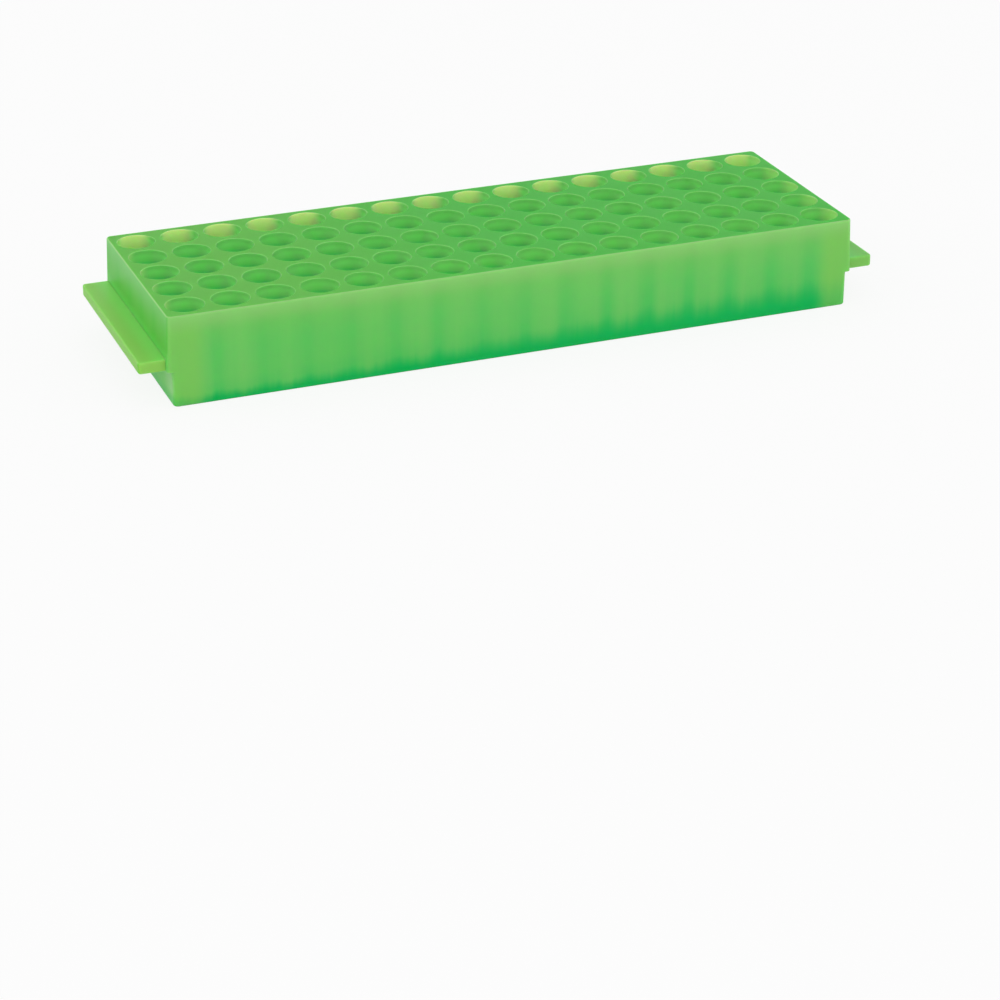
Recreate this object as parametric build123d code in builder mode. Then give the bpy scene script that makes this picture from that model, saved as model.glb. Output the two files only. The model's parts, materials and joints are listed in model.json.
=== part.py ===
"""Microcentrifuge tube rack: one injection moulding in polypropylene, sixteen wells by five.

X runs along the rack, Y across it and Z up. The origin is the middle of the footprint, on the
surface that the rack stands on. All sizes are in millimetres.
"""

from build123d import *
import os

os.makedirs("parts", exist_ok=True)

# Wells, for the 10.8 mm body of a 1.5 or 2 ml tube
well_columns = 16
well_rows = 5
well_diameter = 11.0
well_web = 2.0  # thinnest plastic between two neighbouring wells
well_floor = 1.5  # plastic left under the middle of a well
dish_depth = 1.0  # how far a well's floor falls to its middle, which centres the tube's tip
dish_sides = 8

# Body
rack_height = 27.0
side_rim = 2.0  # deck left outside the outer wells, along each long side
end_rim = 1.7  # deck left outside the outer wells, at each end
body_corner_radius = 1.5  # upright corners
end_flare = 0.7  # how far each end wall leans out from the deck down to its tab
end_step = 1.5  # how far the end wall steps in below its tab
edge_break = 0.5  # small bevel round the deck, the foot and each tab

# Lifting tab on each end
tab_reach = 7.6  # beyond the foot of the end wall above it
tab_thickness = 3.5
tab_underside = 10.5  # above the surface that the rack stands on
tab_shoulder = 0.3  # flat wall between a tab's side and the body's rounded corner
tab_corner_radius = 1.0

# Coring from below, by square pins that leave an eight-sided cup round every well
cup_sides = 8
cup_overlap = 0.3  # how far a cup runs past the middle of the web into its neighbour
deck_thickness = 2.0  # plastic over a pocket
skirt_wall = 1.5  # outer wall, between a pocket and the outside

well_radius = well_diameter / 2
dish_top = well_floor + dish_depth
pitch = well_diameter + well_web
wells_length = (well_columns - 1) * pitch  # between the first and last well centres
wells_width = (well_rows - 1) * pitch
deck_length = wells_length + well_diameter + 2 * end_rim
body_length = deck_length + 2 * end_flare  # at the tabs
body_width = wells_width + well_diameter + 2 * side_rim
lower_length = body_length - 2 * end_step
tab_width = body_width - 2 * (body_corner_radius + tab_shoulder)
overall_length = body_length + 2 * tab_reach
cup_half_width = pitch / 2 + cup_overlap  # from the middle of a cup to each of its flats
cup_turn = 180 / cup_sides  # turns a flat, not a corner, towards each neighbour

# The hollow of one well: a round shaft over a floor that falls in flats to its middle.
with BuildPart() as well:
    with BuildSketch(Plane.XY.offset(dish_top)):
        RegularPolygon(well_radius, dish_sides, major_radius=False)
    extrude(amount=rack_height - dish_top)
    loft([well.faces().sort_by(Axis.Z)[0], Vertex(0, 0, well_floor)])
    Cylinder(well_radius, rack_height, align=(Align.CENTER, Align.CENTER, Align.MIN), mode=Mode.INTERSECT)

# Both lifting tabs, as one plate that runs through the body
with BuildPart() as tab_plate:
    with BuildSketch(Plane.XY.offset(tab_underside)):
        RectangleRounded(overall_length, tab_width, tab_corner_radius)
    extrude(amount=tab_thickness)
    chamfer(tab_plate.faces().filter_by(Axis.Z).edges(), edge_break)

# The body above the tabs' underside. Its end walls lean in from the tabs to the deck.
with BuildPart() as upper_body:
    with BuildSketch(Plane.XZ):
        Polygon(
            (body_length / 2, tab_underside),
            (deck_length / 2, rack_height),
            (-deck_length / 2, rack_height),
            (-body_length / 2, tab_underside),
            align=None,
        )
    extrude(amount=body_width / 2, both=True)
    level_edges = upper_body.edges().filter_by(Plane.XY)
    fillet(upper_body.edges() - level_edges, body_corner_radius)
    chamfer(upper_body.faces().sort_by(Axis.Z)[-1].edges(), edge_break)

with BuildPart() as rack:
    with BuildSketch():
        RectangleRounded(lower_length, body_width, body_corner_radius)
    extrude(amount=tab_underside)
    chamfer(rack.faces().sort_by(Axis.Z)[0].edges(), edge_break)
    add(upper_body.part)
    add(tab_plate.part)

    # Pockets cored from below: the space that the cups leave inside the skirt. The two
    # rectangles leave the four corners solid.
    with BuildSketch():
        Rectangle(wells_length, body_width - 2 * skirt_wall)
        Rectangle(lower_length - 2 * skirt_wall, wells_width)
        with GridLocations(pitch, pitch, well_columns, well_rows):
            RegularPolygon(cup_half_width, cup_sides, False, cup_turn, mode=Mode.SUBTRACT)
    extrude(amount=rack_height - deck_thickness, mode=Mode.SUBTRACT)

    with GridLocations(pitch, pitch, well_columns, well_rows):
        add(well.part, mode=Mode.SUBTRACT)

rack.part.label = "tube_rack"
export_step(rack.part, "parts/tube_rack.step")
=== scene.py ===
"""Microcentrifuge tube rack: one moulding in translucent green polypropylene, on a white table.

Everything is in metres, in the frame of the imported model: X along the rack, Y across it, Z up.
"""

import json
import math

import bpy
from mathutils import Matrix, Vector


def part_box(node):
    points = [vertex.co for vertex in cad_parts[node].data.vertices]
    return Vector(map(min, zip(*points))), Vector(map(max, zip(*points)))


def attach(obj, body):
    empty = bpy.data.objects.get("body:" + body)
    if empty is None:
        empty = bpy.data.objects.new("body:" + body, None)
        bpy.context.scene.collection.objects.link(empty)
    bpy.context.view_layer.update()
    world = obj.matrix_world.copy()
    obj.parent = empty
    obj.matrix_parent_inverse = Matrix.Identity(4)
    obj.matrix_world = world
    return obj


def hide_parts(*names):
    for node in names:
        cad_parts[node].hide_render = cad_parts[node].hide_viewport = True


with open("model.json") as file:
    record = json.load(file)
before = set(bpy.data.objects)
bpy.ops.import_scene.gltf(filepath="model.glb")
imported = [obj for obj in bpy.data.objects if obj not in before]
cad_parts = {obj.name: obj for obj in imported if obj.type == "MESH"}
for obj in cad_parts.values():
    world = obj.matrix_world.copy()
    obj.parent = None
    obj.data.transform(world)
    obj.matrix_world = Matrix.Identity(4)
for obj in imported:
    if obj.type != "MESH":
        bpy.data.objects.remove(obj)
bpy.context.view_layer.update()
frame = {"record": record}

MM = 0.001

# ---------------------------------------------------------------------------------------------
# Sizes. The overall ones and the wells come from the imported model.
# ---------------------------------------------------------------------------------------------

rack_low, rack_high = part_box("tube_rack")
overall_length = rack_high[0] - rack_low[0]
body_width = rack_high[1] - rack_low[1]
rack_height = rack_high[2]

wells = [mount for mount in frame["record"]["mounts"] if mount["kind"] == "bore"]
column_places = sorted({mount["pos_m"][0] for mount in wells})
row_places = sorted({mount["pos_m"][1] for mount in wells})
well_columns = len(column_places)
well_rows = len(row_places)
pitch = column_places[1] - column_places[0]
well_radius = wells[0]["dims"]["r_mm"] * MM
dish_top = rack_height - wells[0]["dims"]["length_mm"] * MM

well_floor = 1.5 * MM  # plastic under the middle of a well
mouth_radius = 0.2 * MM
foot_radius = 0.8 * MM  # between a well's shaft and its dished floor
foot_sinks = 0.2  # how far below the dish's top this round starts, as part of the dish's fall
dish_rings = (0.15, 0.45, 0.7)  # parts of the well's radius at which the dish bends

tab_reach = 7.6 * MM
tab_thickness = 3.5 * MM
tab_underside = 10.5 * MM
tab_setback = 1.8 * MM  # from the long wall to the side of a tab
tab_corner_radius = 1.0 * MM
body_corner_radius = 1.5 * MM
end_flare = 0.7 * MM  # how far an end wall leans out from the deck down to its tab
end_step = 1.5 * MM  # how far it steps in under the tab
edge_radius = 0.5 * MM
foot_edge_radius = 0.5 * MM
body_end = overall_length / 2 - tab_reach
deck_end = body_end - end_flare

cup_overlap = 0.3 * MM  # how far a cup runs into its neighbour
deck_thickness = 2.0 * MM
skirt_wall = 1.5 * MM
pocket_corner_radius = 0.4 * MM
room_corner_radius = 0.2 * MM  # of the space inside the skirt

# How finely the round parts are divided
well_sides = 40
body_corner_steps = 6
tab_corner_steps = 8
pocket_corner_steps = 3
room_corner_steps = 1
edge_steps = 4
foot_edge_steps = 3

cutter_excess = 1 * MM  # how far a cutter runs past the face that it opens
same_point = 0.001 * MM
crease_angle = math.radians(35)

# ---------------------------------------------------------------------------------------------
# Greens, as linear red, green and blue, and where one turns into the next
# ---------------------------------------------------------------------------------------------

wall_green = (0.14, 0.64, 0.140, 1.0)
# Painted shade low on the long walls, deepest at the foot, and painted light towards the deck
wall_low_shade_green = (0.075, 0.61, 0.135, 1.0)
wall_foot_shade_green = (0.0, 0.54, 0.115, 1.0)
wall_top_lit_green = (0.21, 0.63, 0.140, 1.0)
wall_lip_lit_green = (0.32, 0.66, 0.21, 1.0)
wall_end_green = (0.255, 0.64, 0.13, 1.0)
# Painted light: the bar greens, on the long and the end walls, stand for light carried through the
# translucent plastic in front of each cup
bar_light_green = (0.25, 0.66, 0.17, 1.0)
# Painted shade and light on the end walls: a deeper green than the long walls, as they face the lamps more,
# with painted light at the top, just above the tab and under it
end_wall_shaded_green = (0.09, 0.535, 0.045, 1.0)
end_bar_light_green = (0.16, 0.56, 0.08, 1.0)
end_wall_top_lit_green = (0.18, 0.57, 0.138, 1.0)
above_tab_lit_green = (0.145, 0.65, 0.10, 1.0)
under_tab_lit_green = (0.29, 0.70, 0.22, 1.0)
# Painted highlight on the bevels and the body's corners
edge_highlight_green = (0.31, 0.56, 0.21, 1.0)
# Painted light and shade on the deck: deeper than the walls' green, to cancel the stronger light and gloss
# on top, and paler towards -X as painted light
deck_near_lit_green = (0.085, 0.46, 0.022, 1.0)
deck_shaded_green = (0.026, 0.45, 0.012, 1.0)
underside_green = (0.05, 0.44, 0.035, 1.0)
under_floor_light_green = (0.11, 0.54, 0.075, 1.0)
tab_green = (0.23, 0.59, 0.075, 1.0)
# Painted light on the tabs, brighter beside the wall and paler on the sides, and painted shade on the far
# tab
tab_root_lit_green = (0.235, 0.73, 0.13, 1.0)
tab_side_lit_green = (0.32, 0.65, 0.12, 1.0)
tab_shade_green = (0.0, 0.40, 0.15, 1.0)
# Painted light and shade in the wells: far paler than the outside greens to lift the wells' shade, deeper
# lower down as painted shade, paler again at the floor, and a painted glow where only a thin outer wall
# stands behind
well_mouth_green = (0.21, 0.59, 0.16, 1.0)
well_lit_green = (0.30, 0.86, 0.24, 1.0)
deep_well_shade_green = (0.02, 0.75, 0.26, 1.0)
well_floor_lit_green = (0.16, 0.88, 0.27, 1.0)
thin_wall_glow_green = (0.78, 0.92, 0.37, 1.0)

# Heights. A green whose heights end above the deck never shows in full.
low_wall_heights = (0.5 * MM, 7.5 * MM)
high_wall_heights = (14 * MM, rack_height)
lip_heights = (20.5 * MM, 28 * MM)
foot_heights = (0.8 * MM, 3.9 * MM)
end_wall_top_heights = (18.5 * MM, 28 * MM)
above_tab_heights = (14.2 * MM, 17.5 * MM)
under_tab_low_heights = (1 * MM, 5 * MM)
under_tab_high_heights = (7 * MM, 12 * MM)
deck_heights = (rack_height - 1.5 * MM, rack_height - 0.5 * MM)
lining_low_heights = (0.3 * MM, well_floor)
thin_wall_heights = (rack_height - 13 * MM, rack_height - 5 * MM)
deep_well_heights = (rack_height - 14 * MM, rack_height - 7 * MM)
well_heights = (rack_height - 6.2 * MM, rack_height - 2.6 * MM)
well_mouth_heights = (rack_height - 2.2 * MM, rack_height - 0.2 * MM)

# Distances from the middle of the rack, along it or across it
near_end_lengths = (body_end - 13 * MM, body_end - 7 * MM)  # the long walls turn paler towards both ends
end_wall_lengths = (body_end - 2.6 * MM, body_end - 2.0 * MM)
tab_lengths = (body_end - 0.05 * MM, body_end + 0.15 * MM)
tab_top_lengths = (body_end, overall_length / 2 - 1.5 * MM)
corner_lengths = (body_end - 3.4 * MM, body_end - 0.4 * MM)
corner_widths = (body_width / 2 - 3.4 * MM, body_width / 2 - 0.4 * MM)
under_tab_widths = (21 * MM, 31 * MM)
last_column_lengths = (column_places[-1] + well_radius + mouth_radius, deck_end - edge_radius)
last_row_widths = (row_places[-1] + well_radius + mouth_radius, body_width / 2 - edge_radius)

# Places along X or Y, from one end or side to the other
deeper_foot_places = (-body_end, 0.8 * body_end)
deck_places = (-0.8 * body_end, 0.1 * body_end)
far_tab_places = (0.0, body_end)
near_side_places = (-24 * MM, -8 * MM)

# Distances from the axis of a well
lining_radii = (well_radius, well_radius + 0.3 * mouth_radius)
under_floor_radii = (0.55 * well_radius, 1.05 * well_radius)

# Distances outwards from the axes of the last row or column of wells
thin_wall_offsets = (0.35 * well_radius, 0.95 * well_radius)

# How squarely a face looks along an axis, where 1 is straight along it
square_on = (0.6, 0.95)
nearly_square_on = (0.6, 0.9)
bevel_starts = (0.1, 0.5)
bevel_ends = (0.8, 0.98)

# How strongly a green shows, or how much of it is lost, from 0 to 1
bar_strength = 0.5
end_bar_strength = 0.35
near_end_strength = 0.8
foot_loss_near_end = 0.6
far_tab_strength = 0.22
bevel_loss_on_tab = 0.8
corner_strength = 0.15
thin_end_strength = 0.4

# Unevenness
bar_breadth = 0.6  # widens the bars and narrows the gaps between them
weakest_bar = 0.5  # where the cloud is thin, as part of a full bar
cloud_on_bars = (0.3, 0.6)
foot_spread = 1.8  # how much higher the deeper foot reaches at the far end, as a part of its height
bar_lowers_foot = 0.7 * MM
flow_moves_foot = 2.5 * MM
near_side_rise = 1.8 * MM  # how much higher up the paler top of an end wall starts on the near side
cloud_scale = 45.0  # lumps to a metre
flow_scales = (320.0, 320.0, 10.0)  # ripples to a metre along X, Y and Z
grain_scale = 900.0
grain_depth = 0.05 * MM
satin_roughness = 0.38
cloud_roughness = 0.12

# The table and the studio
table_side = 24.0
table_drop = 0.03 * MM  # keeps the table's face off the rack's
table_paint = (0.85, 0.85, 0.85, 1.0)
plain_white = (1.0, 1.0, 1.0, 1.0)
plain_white_share = 0.88  # of the table, where it is seen
studio_light = 0.83


# ---------------------------------------------------------------------------------------------
# Writing node trees
# ---------------------------------------------------------------------------------------------


class Signal:
    """A socket of a node tree. In a sum it adds the Math node that the sum needs."""

    def __init__(self, writer, socket):
        self.writer = writer
        self.socket = socket

    def beside(self, name):
        """Another output of the same node."""
        return Signal(self.writer, self.socket.node.outputs[name])

    def maths(self, operation, *values):
        """A Math node on these values. This signal is used only if it is among them."""
        return self.writer.node("ShaderNodeMath", {"operation": operation}, dict(enumerate(values)))

    def after(self, operation):
        """One operation on this value alone."""
        return self.maths(operation, self)

    def or_larger(self, other):
        return self.maths("MAXIMUM", self, other)

    def __add__(self, other):
        return self.maths("ADD", self, other)

    def __radd__(self, other):
        return self.maths("ADD", other, self)

    def __sub__(self, other):
        return self.maths("SUBTRACT", self, other)

    def __rsub__(self, other):
        return self.maths("SUBTRACT", other, self)

    def __mul__(self, other):
        return self.maths("MULTIPLY", self, other)

    def __rmul__(self, other):
        return self.maths("MULTIPLY", other, self)

    def __truediv__(self, other):
        return self.maths("DIVIDE", self, other)

    def __rtruediv__(self, other):
        return self.maths("DIVIDE", other, self)

    def __abs__(self):
        return self.maths("ABSOLUTE", self)

    def __gt__(self, other):
        return self.maths("GREATER_THAN", self, other)

    def __lt__(self, other):
        return self.maths("LESS_THAN", self, other)


class TreeWriter:
    """Adds nodes to one node tree."""

    def __init__(self, tree):
        self.tree = tree

    def node(self, kind, settings=None, sockets=None):
        """A new node's first output. Its settings are set first, and then its sockets are fed."""
        made = self.tree.nodes.new(kind)
        for name, value in (settings or {}).items():
            setattr(made, name, value)
        for name, value in (sockets or {}).items():
            self.feed(made.inputs[name], value)
        return Signal(self, next(output for output in made.outputs if output.enabled))

    def feed(self, socket, value):
        """Sets a socket, or links it. Several values go into it together, or as the parts of a vector."""
        if isinstance(value, (list, tuple)) and any(isinstance(part, Signal) for part in value):
            if socket.is_multi_input:
                for part in value:
                    self.tree.links.new(part.socket, socket)
                return
            value = self.node("ShaderNodeCombineXYZ", {}, dict(enumerate(value)))
        if isinstance(value, Signal):
            self.tree.links.new(value.socket, socket)
        else:
            socket.default_value = value

    def vector_maths(self, operation, *values):
        return self.node("ShaderNodeVectorMath", {"operation": operation}, dict(enumerate(values)))


# ---------------------------------------------------------------------------------------------
# The moulding's shape
# ---------------------------------------------------------------------------------------------


def quarter_turn(steps):
    """The sine and cosine at every step of a quarter circle after its start."""
    angles = [math.pi / 2 * step / steps for step in range(1, steps + 1)]
    return [(math.sin(angle), math.cos(angle)) for angle in angles]


class GrownSolid:
    """A closed solid that grows upwards, ring by ring, from a flat outline with round corners."""

    def __init__(self, writer, outline, core, height, inset):
        self.writer = writer
        self.height = height
        self.inset = inset
        self.face_towards(core)
        self.shape = writer.node(
            "GeometryNodeTransform", {}, {"Geometry": outline, "Translation": (0.0, 0.0, height)}
        )
        self.top = True
        self.draw_in(inset)
        self.foot = writer.node("GeometryNodeFlipFaces", {}, {"Mesh": self.shape})

    def face_towards(self, core):
        """Finds which way each point of the outline faces, by the middles of the round corners."""
        self.core = core
        vector_maths = self.writer.vector_maths
        place = self.writer.node("GeometryNodeInputPosition")
        flat = vector_maths("MULTIPLY", place, (1.0, 1.0, 0.0))
        held = vector_maths("MINIMUM", flat, (core[0], core[1], 0.0))
        held = vector_maths("MAXIMUM", held, (0 - core[0], 0 - core[1], 0.0))
        self.outwards = vector_maths("NORMALIZE", vector_maths("SUBTRACT", flat, held))
        self.towards_end = vector_maths("MULTIPLY", vector_maths("SIGN", flat), (1.0, 0.0, 0.0))

    def shift(self, direction, distance):
        """Moves the newest ring."""
        move = self.writer.node(
            "ShaderNodeVectorMath", {"operation": "SCALE"}, {0: direction, "Scale": distance}
        )
        self.shape = self.writer.node(
            "GeometryNodeSetPosition", {}, {"Geometry": self.shape, "Selection": self.top, "Offset": move}
        )

    def draw_in(self, distance):
        self.shift(self.outwards, 0 - distance)

    def rise(self, height, inset):
        """Grows one ring more, up to that height and that far inside the outline."""
        self.shape = self.writer.node(
            "GeometryNodeExtrudeMesh",
            {"mode": "FACES"},
            {
                "Mesh": self.shape,
                "Selection": self.top,
                "Offset": (0.0, 0.0, height - self.height),
                "Offset Scale": 1.0,
                "Individual": False,
            },
        )
        self.top = self.shape.beside("Top")
        self.draw_in(inset - self.inset)
        self.height = height
        self.inset = inset

    def rise_round(self, edge, to_a_mouth=False):
        """Grows a quarter round: inwards over a top edge, or outwards to a mouth."""
        start = self.height
        inset = self.inset
        for sine, cosine in quarter_turn(edge_steps):
            drawn_in = cosine - 1 if to_a_mouth else 1 - cosine
            self.rise(start + edge * sine, inset + edge * drawn_in)

    def rise_from_round(self, start, edge, steps):
        """Grows a quarter round: outwards from an inset of its radius up to a straight side."""
        for sine, cosine in quarter_turn(steps):
            self.rise(start + edge * (1 - cosine), edge * (1 - sine))

    def lengthen(self, step):
        """Moves both ends of the newest ring out, and nothing else."""
        self.shift(self.towards_end, step)
        self.face_towards((self.core[0] + step, self.core[1]))

    def closed(self):
        whole = self.writer.node("GeometryNodeJoinGeometry", {}, {"Geometry": [self.shape, self.foot]})
        return self.writer.node(
            "GeometryNodeMergeByDistance", {}, {"Geometry": whole, "Distance": same_point}
        )


def rounded_outline(writer, length, width, corner, corner_steps):
    """A flat rectangle with round corners, and how far along and across the middles of those corners are."""
    outline = writer.node("GeometryNodeCurvePrimitiveQuadrilateral", {}, {"Width": length, "Height": width})
    rounding = {"Curve": outline, "Count": corner_steps, "Radius": corner}
    outline = writer.node("GeometryNodeFilletCurve", {"mode": "POLY"}, rounding)
    face = writer.node("GeometryNodeFillCurve", {"mode": "NGONS"}, {"Curve": outline})
    return face, (length / 2 - corner, width / 2 - corner)


def body_solid(writer, size):
    """The block in two lifts. Its end walls step out at the tabs, and lean in from there to the deck."""
    foot = size["Foot Edge Radius"]
    lower_length = size["Body Length"] - 2 * size["End Step"]
    outline, core = rounded_outline(
        writer, lower_length, size["Body Width"], size["Body Corner Radius"], body_corner_steps
    )
    body = GrownSolid(writer, outline, core, 0.0, foot)
    body.rise_from_round(0.0, foot, foot_edge_steps)
    body.rise(size["Tab Underside"], 0.0)

    # A second ring at this height steps out from the first one
    body.rise(size["Tab Underside"], 0.0)
    body.lengthen(size["End Step"])
    body.rise(size["Height"] - size["Edge Radius"], 0.0)
    body.lengthen(0 - size["End Flare"])
    body.rise_round(size["Edge Radius"])
    return body.closed()


def tab_plate(writer, size):
    """Both lifting tabs, as one plate that runs through the body."""
    edge = size["Edge Radius"]
    low = size["Tab Underside"]
    outline, core = rounded_outline(
        writer, size["Overall Length"], size["Tab Width"], size["Tab Corner Radius"], tab_corner_steps
    )
    plate = GrownSolid(writer, outline, core, low, edge)
    plate.rise_from_round(low, edge, edge_steps)
    plate.rise(low + size["Tab Thickness"] - edge, 0.0)
    plate.rise_round(edge)
    return plate.closed()


def well_hollow(writer, size):
    """What one well takes out of the block: a dished floor, a round foot, the shaft and a round mouth."""
    radius = size["Well Radius"]
    fall = size["Dish Top"] - size["Well Floor"]
    outline = writer.node(
        "GeometryNodeMeshCircle", {"fill_type": "NGON"}, {"Vertices": well_sides, "Radius": radius}
    )
    middle, *bends = dish_rings
    hollow = GrownSolid(writer, outline, (0.0, 0.0), size["Well Floor"], radius * (1 - middle))
    for share in bends:
        hollow.rise(size["Well Floor"] + fall * share**2, radius * (1 - share))
    hollow.rise_from_round(size["Dish Top"] - fall * foot_sinks, size["Foot Radius"], edge_steps)
    hollow.rise(size["Height"] - size["Mouth Radius"], 0.0)
    hollow.rise_round(size["Mouth Radius"], to_a_mouth=True)
    hollow.rise(size["Height"] + cutter_excess, hollow.inset)
    return hollow.closed()


def pocket_pin(writer, size):
    """The square pin that cores one pocket from below, turned to stand between four cups."""
    side = size["Pitch"] * 2**0.5 - 2 * size["Cup Half Width"]
    outline, core = rounded_outline(writer, side, side, size["Pocket Corner Radius"], pocket_corner_steps)
    pin = GrownSolid(writer, outline, core, -cutter_excess, 0.0)
    pin.rise(size["Height"] - size["Deck Thickness"], 0.0)
    return writer.node(
        "GeometryNodeTransform", {}, {"Geometry": pin.closed(), "Rotation": (0.0, 0.0, math.pi / 4)}
    )


def in_a_grid(writer, shape, pitch, columns, rows, chosen=True):
    """The same shape at every point of a grid, or at the chosen ones."""
    grid = writer.node(
        "GeometryNodeMeshGrid",
        {},
        {
            "Size X": pitch * (columns - 1),
            "Size Y": pitch * (rows - 1),
            "Vertices X": columns,
            "Vertices Y": rows,
        },
    )
    placed = writer.node(
        "GeometryNodeInstanceOnPoints", {}, {"Points": grid, "Selection": chosen, "Instance": shape}
    )
    return writer.node("GeometryNodeRealizeInstances", {}, {"Geometry": placed})


def room_inside_skirt(writer, size):
    """The space inside the skirt's inner faces, from under the foot up to the deck's top."""
    skirt = 2 * size["Skirt Wall"]
    length = size["Body Length"] - 2 * size["End Step"] - skirt
    outline, core = rounded_outline(
        writer, length, size["Body Width"] - skirt, room_corner_radius, room_corner_steps
    )
    room = GrownSolid(writer, outline, core, -2 * cutter_excess, 0.0)
    room.rise(size["Height"], 0.0)
    return room.closed()


def pockets(writer, size):
    """Every pocket's pin, cut off at the skirt's inner face. The four corners have none."""
    columns = size["Columns"]
    rows = size["Rows"]
    pitch = size["Pitch"]
    place = writer.node("ShaderNodeSeparateXYZ", {}, {0: writer.node("GeometryNodeInputPosition")})
    at_the_end = abs(place) > pitch * (columns - 0.5) / 2
    at_the_side = abs(place.beside("Y")) > pitch * (rows - 0.5) / 2
    chosen = at_the_end * at_the_side < 0.5
    pins = in_a_grid(writer, pocket_pin(writer, size), pitch, columns + 1, rows + 1, chosen)
    return combined(writer, "INTERSECT", [pins, room_inside_skirt(writer, size)])


def combined(writer, operation, solids):
    """A union or a common part of closed solids, or the first one less the rest."""
    sockets = {"Mesh 2": solids}
    if operation == "DIFFERENCE":
        sockets = {"Mesh 1": solids[0], "Mesh 2": solids[1:]}
    return writer.node("GeometryNodeMeshBoolean", {"operation": operation, "solver": "MANIFOLD"}, sockets)


def moulding_tree(inputs, material):
    """The rack as Geometry Nodes: body and tabs as one solid, less a grid of wells and a grid of pins."""
    tree = bpy.data.node_groups.new("tube rack moulding", "GeometryNodeTree")
    for name, value in inputs.items():
        kind = "NodeSocketInt" if isinstance(value, int) else "NodeSocketFloat"
        tree.interface.new_socket(name, in_out="INPUT", socket_type=kind)
    tree.interface.new_socket("Moulding", in_out="OUTPUT", socket_type="NodeSocketGeometry")
    writer = TreeWriter(tree)
    given = tree.nodes.new("NodeGroupInput")
    size = {name: Signal(writer, given.outputs[name]) for name in inputs}

    block = combined(writer, "UNION", [body_solid(writer, size), tab_plate(writer, size)])
    hollows = in_a_grid(writer, well_hollow(writer, size), size["Pitch"], size["Columns"], size["Rows"])
    rack = combined(writer, "DIFFERENCE", [block, hollows, pockets(writer, size)])
    rack = writer.node("GeometryNodeMergeByDistance", {}, {"Geometry": rack, "Distance": same_point})

    rack = writer.node("GeometryNodeSetShadeSmooth", {"domain": "FACE"}, {0: rack, "Shade Smooth": True})
    crease = writer.node("GeometryNodeInputMeshEdgeAngle") > crease_angle
    sharpened = {0: rack, "Selection": crease, "Shade Smooth": False}
    rack = writer.node("GeometryNodeSetShadeSmooth", {"domain": "EDGE"}, sharpened)
    rack = writer.node("GeometryNodeRealizeInstances", {}, {"Geometry": rack})
    rack = writer.node("GeometryNodeSetMaterial", {}, {"Geometry": rack, "Material": material})
    shown = tree.nodes.new("NodeGroupOutput")
    tree.links.new(rack.socket, shown.inputs["Moulding"])
    return tree


def grown_object(name, tree, inputs):
    """An empty object that a tree of Geometry Nodes fills, with its flat faces kept flat in the shading."""
    grown = bpy.data.objects.new(name, bpy.data.meshes.new(name))
    bpy.context.scene.collection.objects.link(grown)
    growth = grown.modifiers.new(name, "NODES")
    growth.node_group = tree
    for item in tree.interface.items_tree:
        if item.in_out == "INPUT":
            growth[item.identifier] = inputs[item.name]
    level = grown.modifiers.new("flat faces stay flat", "WEIGHTED_NORMAL")
    level.mode = "FACE_AREA"
    level.keep_sharp = True
    return grown


def moulded_rack(material):
    """The finished moulding as a plain mesh."""
    inputs = {
        "Overall Length": overall_length,
        "Body Length": overall_length - 2 * tab_reach,
        "Body Width": body_width,
        "Height": rack_height,
        "End Step": end_step,
        "End Flare": end_flare,
        "Body Corner Radius": body_corner_radius,
        "Edge Radius": edge_radius,
        "Foot Edge Radius": foot_edge_radius,
        "Tab Width": body_width - 2 * tab_setback,
        "Tab Thickness": tab_thickness,
        "Tab Underside": tab_underside,
        "Tab Corner Radius": tab_corner_radius,
        "Columns": well_columns,
        "Rows": well_rows,
        "Pitch": pitch,
        "Well Radius": well_radius,
        "Well Floor": well_floor,
        "Dish Top": dish_top,
        "Foot Radius": foot_radius,
        "Mouth Radius": mouth_radius,
        "Cup Half Width": pitch / 2 + cup_overlap,
        "Deck Thickness": deck_thickness,
        "Skirt Wall": skirt_wall,
        "Pocket Corner Radius": pocket_corner_radius,
    }
    tree = moulding_tree(inputs, material)
    blank = grown_object("moulding", tree, inputs)
    settled = blank.evaluated_get(bpy.context.evaluated_depsgraph_get())
    mesh = bpy.data.meshes.new_from_object(settled)
    mesh.name = "tube rack"

    # One material slot only, whatever slots the tree has left
    for face in mesh.polygons:
        face.material_index = 0
    mesh.materials.clear()
    mesh.materials.append(material)

    bpy.data.objects.remove(blank)
    bpy.data.node_groups.remove(tree)
    rack = bpy.data.objects.new("moulded_tube_rack", mesh)
    bpy.context.scene.collection.objects.link(rack)
    return rack


# ---------------------------------------------------------------------------------------------
# Materials
# ---------------------------------------------------------------------------------------------


def shader_writer(name):
    """A new material, the writer of its nodes, and its output node's surface."""
    material = bpy.data.materials.new(name)
    material.use_nodes = True
    material.node_tree.nodes.clear()
    writer = TreeWriter(material.node_tree)
    surface = material.node_tree.nodes.new("ShaderNodeOutputMaterial").inputs["Surface"]
    return material, writer, surface


def blend_colours(writer, share, first, second):
    """A colour between two others, which go into the Mix node's sockets 6 and 7."""
    return writer.node("ShaderNodeMix", {"data_type": "RGBA"}, {0: share, 6: first, 7: second})


def ramp(writer, value, low, high):
    """Rises smoothly from 0 to 1 as a value goes from low to high."""
    return writer.node(
        "ShaderNodeMapRange",
        {"interpolation_type": "SMOOTHSTEP"},
        {"Value": value, "From Min": low, "From Max": high, "To Min": 0.0, "To Max": 1.0},
    )


def noise(writer, place, scale, detail=2.0):
    """Soft uneven values, mostly near a half."""
    return writer.node(
        "ShaderNodeTexNoise", {"noise_dimensions": "3D"}, {"Vector": place, "Scale": scale, "Detail": detail}
    )


def upright_bars(along, count):
    """Painted light: one broad soft bar in front of each cup, as a value from 0 to 1."""
    turn = (along / pitch + 0.5 * count) * (2 * math.pi)
    return (turn + turn.after("SINE") * bar_breadth).after("COSINE") * -0.5 + 0.5


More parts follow.
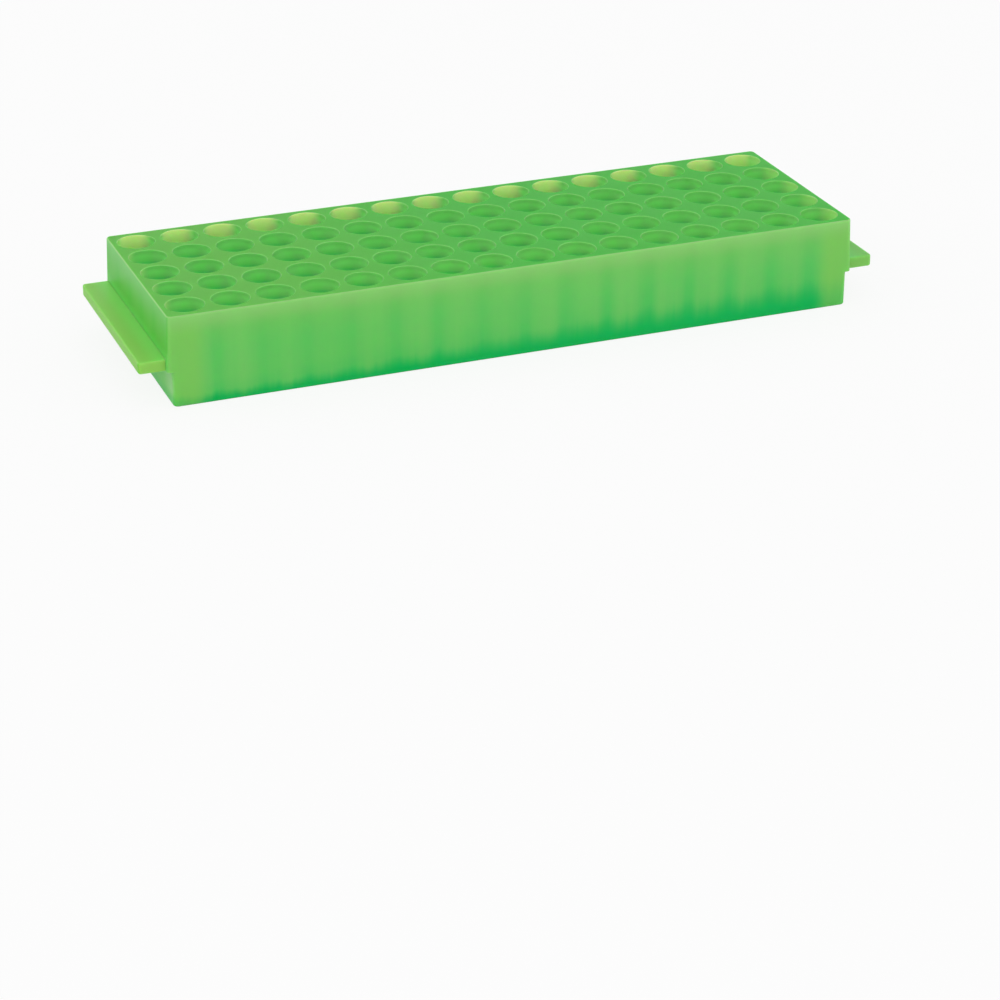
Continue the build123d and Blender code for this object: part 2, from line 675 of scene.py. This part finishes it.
class Spot:
    """A point of the rack: where it is, which way it faces, and how the plastic varies there."""

    def __init__(self, writer):
        self.place = writer.node("ShaderNodeTexCoord").beside("Object")
        self.x = writer.node("ShaderNodeSeparateXYZ", {}, {0: self.place})
        self.y = self.x.beside("Y")
        self.z = self.x.beside("Z")
        facing = writer.node("ShaderNodeNewGeometry").beside("Normal")
        self.facing_x = writer.node("ShaderNodeSeparateXYZ", {}, {0: facing})
        self.facing_y = self.facing_x.beside("Y")
        self.facing_z = self.facing_x.beside("Z")

        # Clouds about 2 cm across, and fine flow lines that run up the walls
        self.cloud = noise(writer, self.place, cloud_scale)
        stretched = writer.vector_maths("MULTIPLY", self.place, flow_scales)
        self.flow = noise(writer, stretched, 1.0, detail=3.0) - 0.5
        # Painted light: a bar in front of each cup, weaker where the cloud is thin
        thick = ramp(writer, self.cloud, *cloud_on_bars)
        self.bar = upright_bars(self.x, well_columns) * (weakest_bar + (1 - weakest_bar) * thick)

        # The painted shade low on the walls reaches higher towards +X
        self.spread = 1 + foot_spread * ramp(writer, self.x, *deeper_foot_places)
        self.near_end = ramp(writer, abs(self.x), *near_end_lengths)
        self.upwards = ramp(writer, self.facing_z, *square_on)
        self.on_tab = ramp(writer, abs(self.x), *tab_lengths)

        beside_x = (self.x / pitch + 0.5 * well_columns).after("FRACT") - 0.5
        beside_y = (self.y / pitch + 0.5 * well_rows).after("FRACT") - 0.5
        self.from_axis = (beside_x * beside_x + beside_y * beside_y).after("SQRT") * pitch


def long_wall_colour(writer, spot):
    """Painted shade low down and painted light towards the deck, with a painted light bar in front of each
    cup; paler towards the ends, with fine upright flow lines.
    """
    height = ramp(writer, spot.z / spot.spread, *low_wall_heights)
    colour = blend_colours(writer, height, wall_low_shade_green, wall_green)
    colour = blend_colours(writer, ramp(writer, spot.z, *high_wall_heights), colour, wall_top_lit_green)
    colour = blend_colours(writer, (spot.bar + spot.flow) * bar_strength, colour, bar_light_green)
    colour = blend_colours(writer, spot.near_end * near_end_strength, colour, wall_end_green)
    return blend_colours(writer, ramp(writer, spot.z, *lip_heights), colour, wall_lip_lit_green)


def end_wall_colour(writer, spot):
    """Painted light: paler towards the deck, just above the tab, and near the corners under it, over a green
    deepened as painted shade.
    """
    bar = upright_bars(spot.y, well_rows) * end_bar_strength
    colour = blend_colours(writer, bar, end_wall_shaded_green, end_bar_light_green)
    lowered = spot.z - (1 - ramp(writer, spot.y, *near_side_places)) * near_side_rise
    colour = blend_colours(writer, ramp(writer, lowered, *end_wall_top_heights), colour, end_wall_top_lit_green)
    colour = blend_colours(writer, 1 - ramp(writer, spot.z, *above_tab_heights), colour, above_tab_lit_green)
    above_foot = ramp(writer, spot.z, *under_tab_low_heights)
    below_tab = 1 - ramp(writer, spot.z, *under_tab_high_heights)
    under_tab = above_foot * below_tab * ramp(writer, abs(spot.y), *under_tab_widths)
    return blend_colours(writer, under_tab, colour, under_tab_lit_green)


def foot_shade_share(writer, spot):
    """How much of the painted shade at the foot shows: most between the cups, and less near the ends."""
    uneven = spot.bar * bar_lowers_foot + spot.flow * flow_moves_foot
    foot = 1 - ramp(writer, (spot.z + uneven) / spot.spread, *foot_heights)
    return foot * (1 - spot.near_end * foot_loss_near_end)


def tab_colour(writer, spot):
    """Painted light and shade: brighter beside the wall as painted reflected light, with paler sides, and
    painted shade a little deeper on the far tab.
    """
    colour = blend_colours(writer, ramp(writer, abs(spot.x), *tab_top_lengths), tab_root_lit_green, tab_green)
    side = ramp(writer, abs(spot.facing_y), *nearly_square_on)
    colour = blend_colours(writer, side, colour, tab_side_lit_green)
    far = ramp(writer, spot.x, *far_tab_places)
    return blend_colours(writer, far * far_tab_strength, colour, tab_shade_green)


def edge_highlight_share(writer, spot):
    """How much painted highlight shows, on bevels that face partly up and on the body's corners."""
    bevel = ramp(writer, spot.facing_z, *bevel_starts) * (1 - ramp(writer, spot.facing_z, *bevel_ends))
    bevel = bevel * (1 - bevel_loss_on_tab * spot.on_tab)
    corner = ramp(writer, abs(spot.x), *corner_lengths) * ramp(writer, abs(spot.y), *corner_widths)
    return bevel.or_larger(corner * (1 - spot.upwards) * corner_strength)


def lining_colour(writer, spot):
    """A well's lining, with painted light and shade: paler than the outside to lift the well's shade, deeper
    with depth as painted shade, and a painted yellow glow where only a thin outer wall stands behind.
    """
    thin_side = ramp(writer, abs(spot.y) - row_places[-1], *thin_wall_offsets)
    thin_end = ramp(writer, abs(spot.x) - column_places[-1], *thin_wall_offsets)
    thin = thin_side.or_larger(thin_end * thin_end_strength) * ramp(writer, spot.z, *thin_wall_heights)
    above_floor = ramp(writer, spot.z, *deep_well_heights)
    colour = blend_colours(writer, above_floor, well_floor_lit_green, deep_well_shade_green)
    colour = blend_colours(writer, ramp(writer, spot.z, *well_heights), colour, well_lit_green)
    colour = blend_colours(writer, ramp(writer, spot.z, *well_mouth_heights), colour, well_mouth_green)
    return blend_colours(writer, thin, colour, thin_wall_glow_green)


def on_a_lining(writer, spot):
    """1 on the lining of a well and 0 everywhere else."""
    return (
        (1 - ramp(writer, spot.from_axis, *lining_radii))
        * (1 - ramp(writer, abs(spot.x), *last_column_lengths))
        * (1 - ramp(writer, abs(spot.y), *last_row_widths))
        * ramp(writer, spot.z, *lining_low_heights)
    )


def green_polypropylene():
    """Translucent green polypropylene, satin. Light and shade are painted into its colour: painted light as
    soft upright bars in front of the cups, painted light and shade on the walls and in the wells, and
    painted highlights on the edges."""
    material, writer, surface = shader_writer("green polypropylene")
    spot = Spot(writer)

    colour = long_wall_colour(writer, spot)
    on_end_wall = ramp(writer, abs(spot.x), *end_wall_lengths) * ramp(writer, abs(spot.facing_x), *square_on)
    colour = blend_colours(writer, on_end_wall, colour, end_wall_colour(writer, spot))
    colour = blend_colours(writer, foot_shade_share(writer, spot), colour, wall_foot_shade_green)

    # The underside, with painted light where the thin floor of each well shows paler
    under_floor = 1 - ramp(writer, spot.from_axis, *under_floor_radii)
    underside = blend_colours(writer, under_floor, underside_green, under_floor_light_green)
    colour = blend_colours(writer, ramp(writer, 0 - spot.facing_z, *square_on), colour, underside)

    on_deck = spot.upwards * ramp(writer, spot.z, *deck_heights)
    deck = blend_colours(writer, ramp(writer, spot.x, *deck_places), deck_near_lit_green, deck_shaded_green)
    colour = blend_colours(writer, on_deck, colour, deck)
    colour = blend_colours(writer, spot.on_tab, colour, tab_colour(writer, spot))
    colour = blend_colours(writer, edge_highlight_share(writer, spot), colour, edge_highlight_green)
    colour = blend_colours(writer, on_a_lining(writer, spot), colour, lining_colour(writer, spot))

    grain = noise(writer, spot.place, grain_scale)
    relief = writer.node("ShaderNodeBump", {}, {"Strength": 0.12, "Distance": grain_depth, "Height": grain})
    plastic = writer.node(
        "ShaderNodeBsdfPrincipled",
        {"subsurface_method": "RANDOM_WALK"},
        {
            "Base Color": colour,
            "Roughness": satin_roughness + cloud_roughness * spot.cloud,
            "IOR": 1.49,
            "Specular IOR Level": 0.25,
            "Subsurface Weight": 1.0,
            "Subsurface Radius": (0.4, 1.0, 0.4),
            "Subsurface Scale": 3 * MM,
            "Normal": relief,
        },
    )
    writer.feed(surface, plastic)
    return material


def seen_or_mirrored(writer):
    """1 for what the camera sees, straight, in a gloss or through something clear, and 0 for other light."""
    path = writer.node("ShaderNodeLightPath")
    return path.or_larger(path.beside("Is Glossy Ray")).or_larger(path.beside("Is Transmission Ray"))


def white_table():
    """The floor: nearly plain white to the camera, and still taking the rack's shadow."""
    material, writer, surface = shader_writer("white table")
    matt = writer.node("ShaderNodeBsdfDiffuse", {}, {"Color": table_paint})
    glow = writer.node("ShaderNodeEmission", {}, {"Color": plain_white, "Strength": 1.0})
    shown = seen_or_mirrored(writer) * plain_white_share
    writer.feed(surface, writer.node("ShaderNodeMixShader", {}, {0: shown, 1: matt, 2: glow}))
    return material


# ---------------------------------------------------------------------------------------------
# The rack
# ---------------------------------------------------------------------------------------------

rack = moulded_rack(green_polypropylene())
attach(rack, "root")
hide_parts("tube_rack")


# ---------------------------------------------------------------------------------------------
# Table, light and camera
# ---------------------------------------------------------------------------------------------


def flat_panel(name, width, depth, height):
    """A level rectangle, in the middle of the scene, at a height."""
    mesh = bpy.data.meshes.new(name)
    corners = [(x * width / 2, y * depth / 2, height) for x, y in ((-1, -1), (1, -1), (1, 1), (-1, 1))]
    mesh.from_pydata(corners, [], [(0, 1, 2, 3)])
    panel = bpy.data.objects.new(name, mesh)
    bpy.context.scene.collection.objects.link(panel)
    return panel


def turned_towards(place, aim):
    """The rotation that makes a lamp or a camera at a place look at a point."""
    return (Vector(aim) - Vector(place)).to_track_quat("-Z", "Y").to_euler()


def soft_light(name, place, width, watts):
    """A square soft box that faces the rack."""
    data = bpy.data.lights.new(name, "AREA")
    data.shape = "SQUARE"
    data.size = width
    data.energy = watts
    light = bpy.data.objects.new(name, data)
    light.location = place
    light.rotation_euler = turned_towards(place, (0.0, 0.0, 0.0))
    bpy.context.scene.collection.objects.link(light)


def studio_world():
    """White to the camera, and a plain even light on everything."""
    world = bpy.data.worlds.new("white studio")
    world.use_nodes = True
    world.node_tree.nodes.clear()
    writer = TreeWriter(world.node_tree)
    surface = world.node_tree.nodes.new("ShaderNodeOutputWorld").inputs["Surface"]
    light = writer.node("ShaderNodeBackground", {}, {"Color": plain_white, "Strength": studio_light})
    white = writer.node("ShaderNodeBackground", {}, {"Color": plain_white, "Strength": 1.0})
    shown = seen_or_mirrored(writer)
    writer.feed(surface, writer.node("ShaderNodeMixShader", {}, {0: shown, 1: light, 2: white}))
    bpy.context.scene.world = world


def long_lens_camera(place, aim, lens):
    """The scene's camera, with its lens in millimetres."""
    data = bpy.data.cameras.new("camera")
    data.lens = lens
    camera = bpy.data.objects.new("camera", data)
    camera.location = place
    camera.rotation_euler = turned_towards(place, aim)
    bpy.context.scene.collection.objects.link(camera)
    bpy.context.scene.camera = camera


table = flat_panel("white_table", table_side, table_side, -table_drop)
table.data.materials.append(white_table())

studio_world()
soft_light("key light", place=(-0.4, -1.0, 0.6), width=0.9, watts=1.3)
soft_light("fill light", place=(0.9, -0.8, 0.4), width=0.8, watts=0.8)
soft_light("back light", place=(-0.9, 0.3, 0.6), width=0.8, watts=0.8)
long_lens_camera(place=(-0.280, -0.727, 0.318), aim=(0.0046, -0.003, -0.0615), lens=101.4)
bpy.context.scene.view_settings.view_transform = "Standard"
